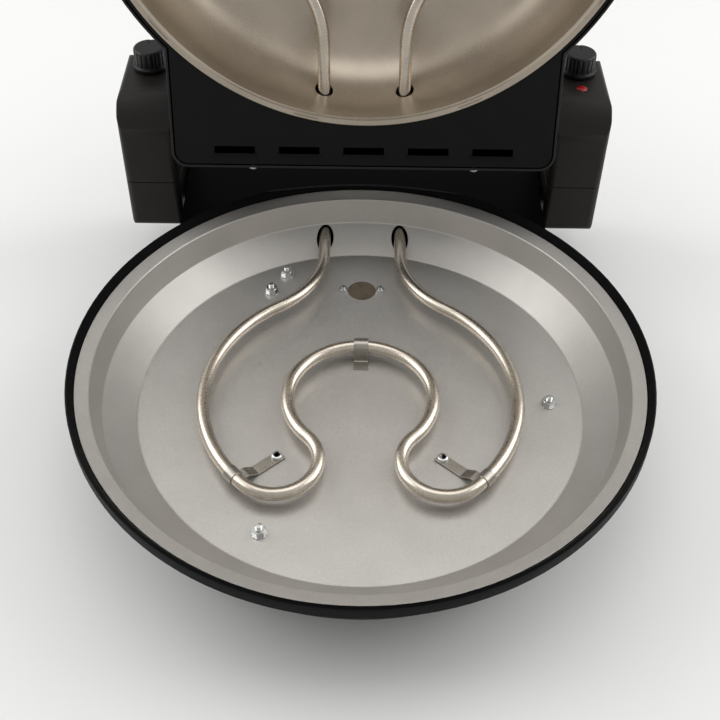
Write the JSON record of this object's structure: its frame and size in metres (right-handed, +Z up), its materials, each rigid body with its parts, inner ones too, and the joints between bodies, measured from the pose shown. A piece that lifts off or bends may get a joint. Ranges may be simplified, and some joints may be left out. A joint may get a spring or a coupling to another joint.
{
  "type": "electric pizza maker",
  "caption": "Electric pizza maker with a hinged dome lid standing open, a round heated pan in a black bowl base, tubular heaters above and below, and hinge towers that carry the controls.",
  "frame": {"origin": "under the middle of the open machine's bounding box, on the table that its feet stand on", "axes": "+Z up, +X to the right as seen from the front, +Y from the front to the hinge at the back"},
  "size_m": [0.3454, 0.4624, 0.5041],
  "materials": {
    "base_black": "black moulded heat-resistant plastic with a fine satin grain",
    "deck_black": "smooth black plastic, glossier than the bowl",
    "tower_plastic": "warm black phenolic plastic with a fine matte grain",
    "pan_steel": "drawn aluminised steel, satin with fine scratches",
    "heater_steel": "stainless heater sheath, warm satin with drawing streaks",
    "clamp_steel": "plain spring steel strip, slightly dull",
    "zinc_steel": "bright zinc-plated steel",
    "cutout_metal": "brownish metal cap of the overheat cut-out",
    "ceramic": "white glazed steatite ceramic",
    "foot_rubber": "black rubber",
    "bush_metal": "sintered bronze, satin",
    "control_plastic": "pale moulded control housing",
    "lamp_lens": "red tinted lens of the pilot lamp",
    "gland_plastic": "black nylon",
    "wire_sleeve": "silicone sleeve on the inner leads",
    "knob_plastic": "black moulded plastic with fine flutes",
    "lid_black": "black heat-resistant enamel, smooth with soft reflections",
    "plate_black": "black heat-resistant paint, satin",
    "reflector_steel": "polished aluminised steel, warm satin, darker where it curves in",
    "handle_plastic": "black heat-resistant plastic"
  },
  "bodies": {
    "base": {"base_shell": "base_black", "bottom_cover": "base_black", "rear_deck": "deck_black", "base_pan": "pan_steel", "lower_heater": "heater_steel", "lower_heater_ends": "ceramic", "heater_bracket": "zinc_steel", "left_heater_clamp": "clamp_steel", "right_heater_clamp": "clamp_steel", "middle_heater_clamp": "clamp_steel", "clamp_screws": "zinc_steel", "pan_studs": "zinc_steel", "pan_nuts": "zinc_steel", "pan_washers": "zinc_steel", "pan_spacers": "zinc_steel", "overheat_cutout": "cutout_metal", "cutout_bolts": "zinc_steel", "cutout_nuts": "zinc_steel", "feet": "foot_rubber", "foot_screws": "zinc_steel", "left_tower_lower": "tower_plastic", "left_tower_cover": "tower_plastic", "right_tower_lower": "tower_plastic", "right_tower_cover": "tower_plastic", "tower_screws": "zinc_steel", "hinge_bushes": "bush_metal", "thermostat_body": "control_plastic", "timer_body": "control_plastic", "pilot_lamp": "lamp_lens", "cord_gland": "gland_plastic", "terminal_block": "ceramic", "base_wires": "wire_sleeve", "lid_lead": "wire_sleeve"},
    "lid": {"lid_shell": "lid_black", "lid_plate": "plate_black", "plate_screws": "zinc_steel", "lid_reflector": "reflector_steel", "upper_heater": "heater_steel", "upper_heater_ends": "ceramic", "heater_hangers": "clamp_steel", "hanger_screws": "zinc_steel", "hinge_brackets": "zinc_steel", "hinge_pins": "zinc_steel", "pin_clips": "zinc_steel", "lid_handle": "handle_plastic", "handle_screws": "zinc_steel"},
    "thermostat_dial": {"thermostat_knob": "knob_plastic", "thermostat_shaft": "zinc_steel"},
    "timer_dial": {"timer_knob": "knob_plastic", "timer_shaft": "zinc_steel"}
  },
  "joints": [
    {"name": "lid_hinge", "type": "hinge", "parent": "base", "child": "lid", "pos_m": [0, 0.11851, 0.125], "axis": [1, 0, 0], "range_deg": [0, 105.8]},
    {"name": "thermostat_turn", "type": "hinge", "parent": "base", "child": "thermostat_dial", "pos_m": [0.1455, 0.15351, 0.139], "axis": [0, 0, 1], "range_deg": [-270, 0]},
    {"name": "timer_turn", "type": "hinge", "parent": "base", "child": "timer_dial", "pos_m": [-0.1455, 0.15351, 0.139], "axis": [0, 0, 1], "range_deg": [-300, 0]}
  ]
}
